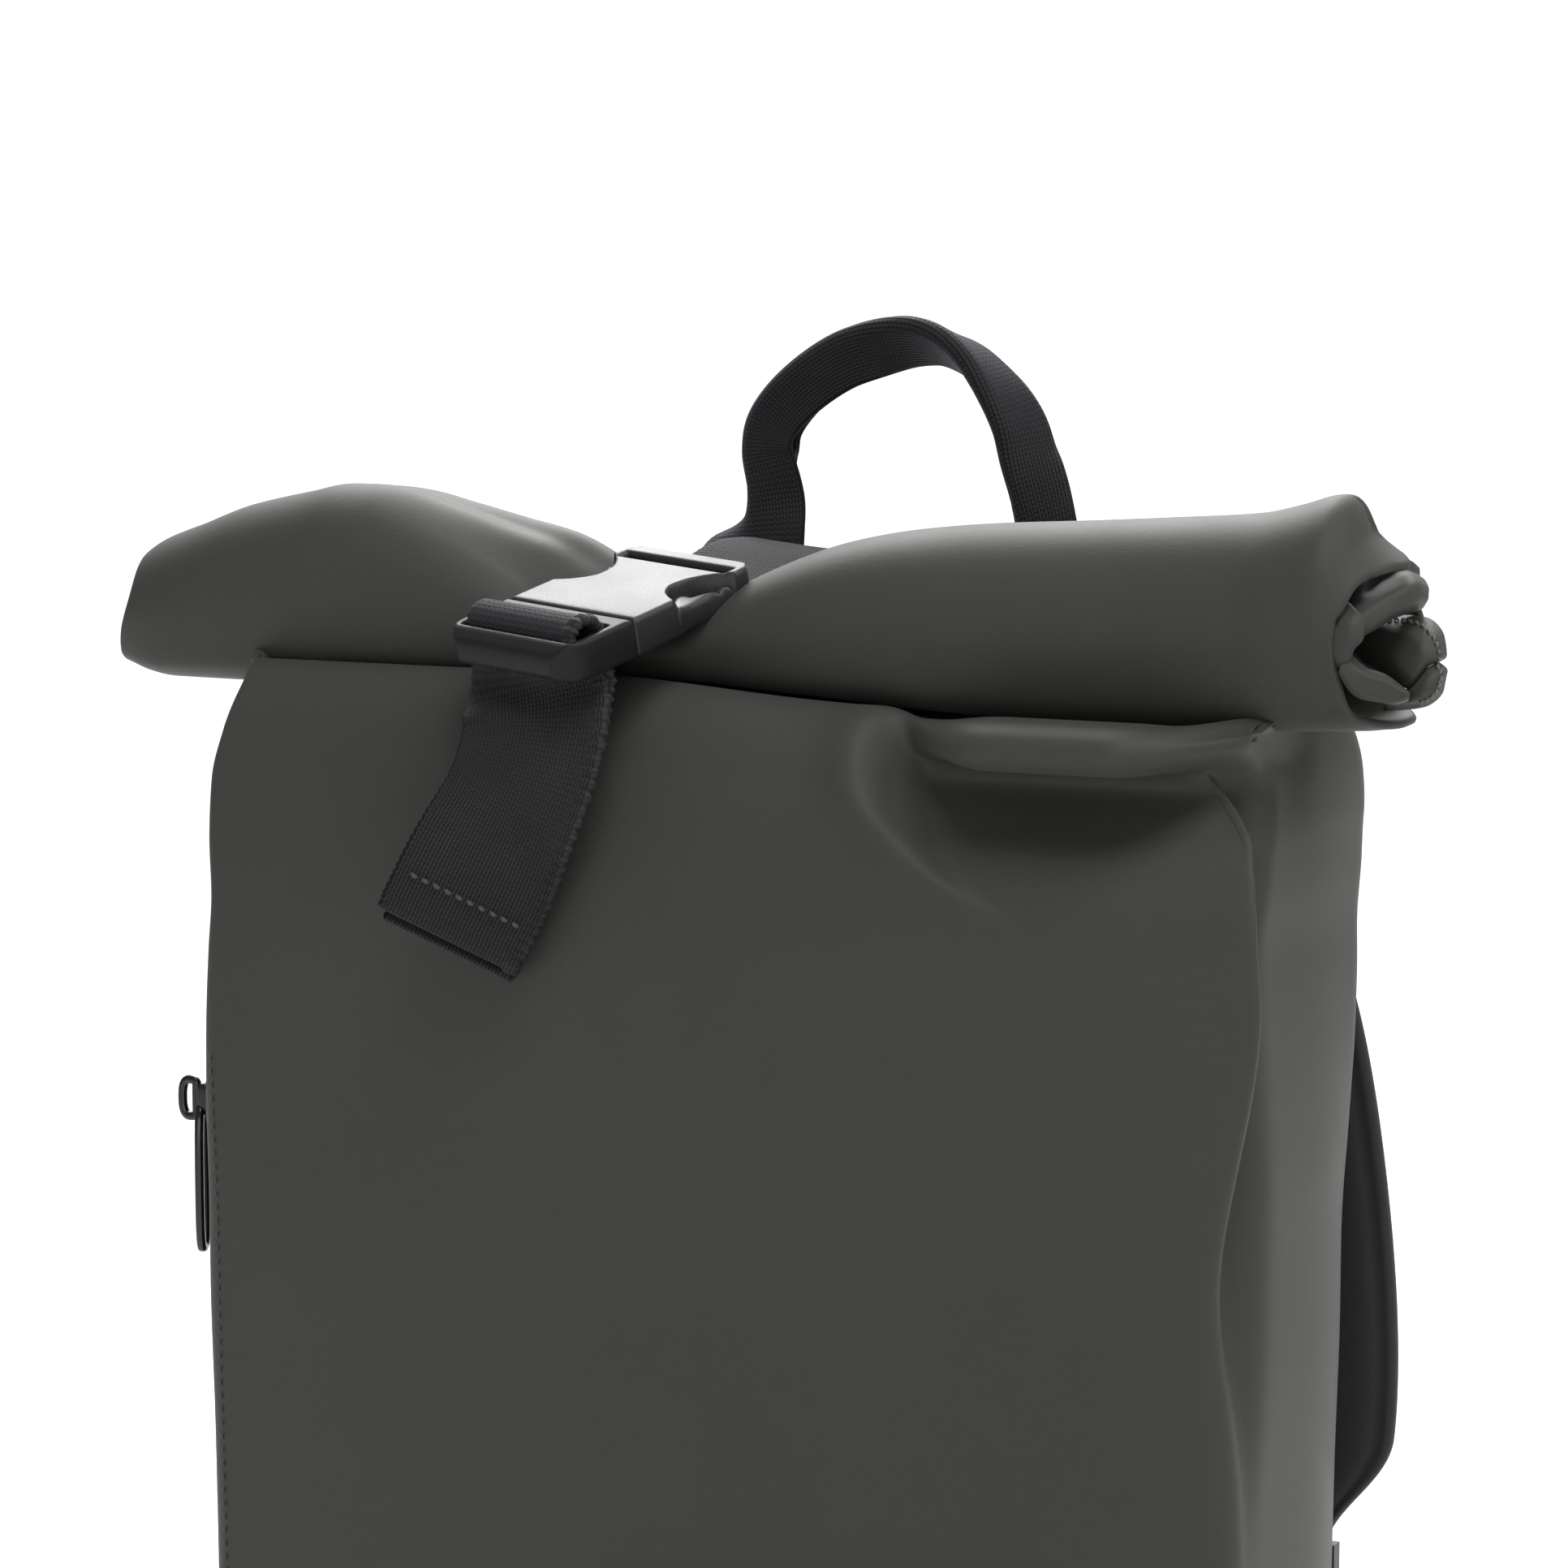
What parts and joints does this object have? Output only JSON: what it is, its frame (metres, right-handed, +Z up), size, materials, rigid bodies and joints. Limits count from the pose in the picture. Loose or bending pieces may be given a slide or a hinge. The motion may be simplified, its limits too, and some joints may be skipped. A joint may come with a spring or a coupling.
{
  "type": "rolltop backpack",
  "caption": "Standing backpack of coated cloth, its top rolled shut and held by a strap with a side-release buckle, with grab handle and padded shoulder straps.",
  "frame": {"origin": "on the ground under the middle of the base", "axes": "+X to the right seen from the front, +Y from front to back, +Z up"},
  "size_m": [0.404, 0.1825, 0.4654],
  "materials": {
    "coated_cloth": "matte rubbery coated cloth, dark olive grey, very fine grain",
    "strap_cloth": "the same coated cloth over padding",
    "webbing": "black woven webbing with a fine diagonal grain",
    "buckle_plastic": "moulded black plastic with a fine satin texture",
    "black_enamel": "glossy black enamelled metal"
  },
  "bodies": {
    "root": {"body_shell": "coated_cloth", "roll_top": "coated_cloth", "buckle_plug": "buckle_plastic", "buckle_socket": "buckle_plastic", "rear_strap": "webbing", "front_strap": "webbing", "grab_handle": "webbing", "shoulder_strap_left": "strap_cloth", "adjuster_left": "buckle_plastic", "lower_web_left": "webbing", "shoulder_strap_right": "strap_cloth", "adjuster_right": "buckle_plastic", "lower_web_right": "webbing", "zip_tape": "webbing", "zip_teeth": "buckle_plastic", "zip_slider": "black_enamel", "zip_ring": "black_enamel", "zip_tab": "black_enamel"}
  },
  "joints": []
}
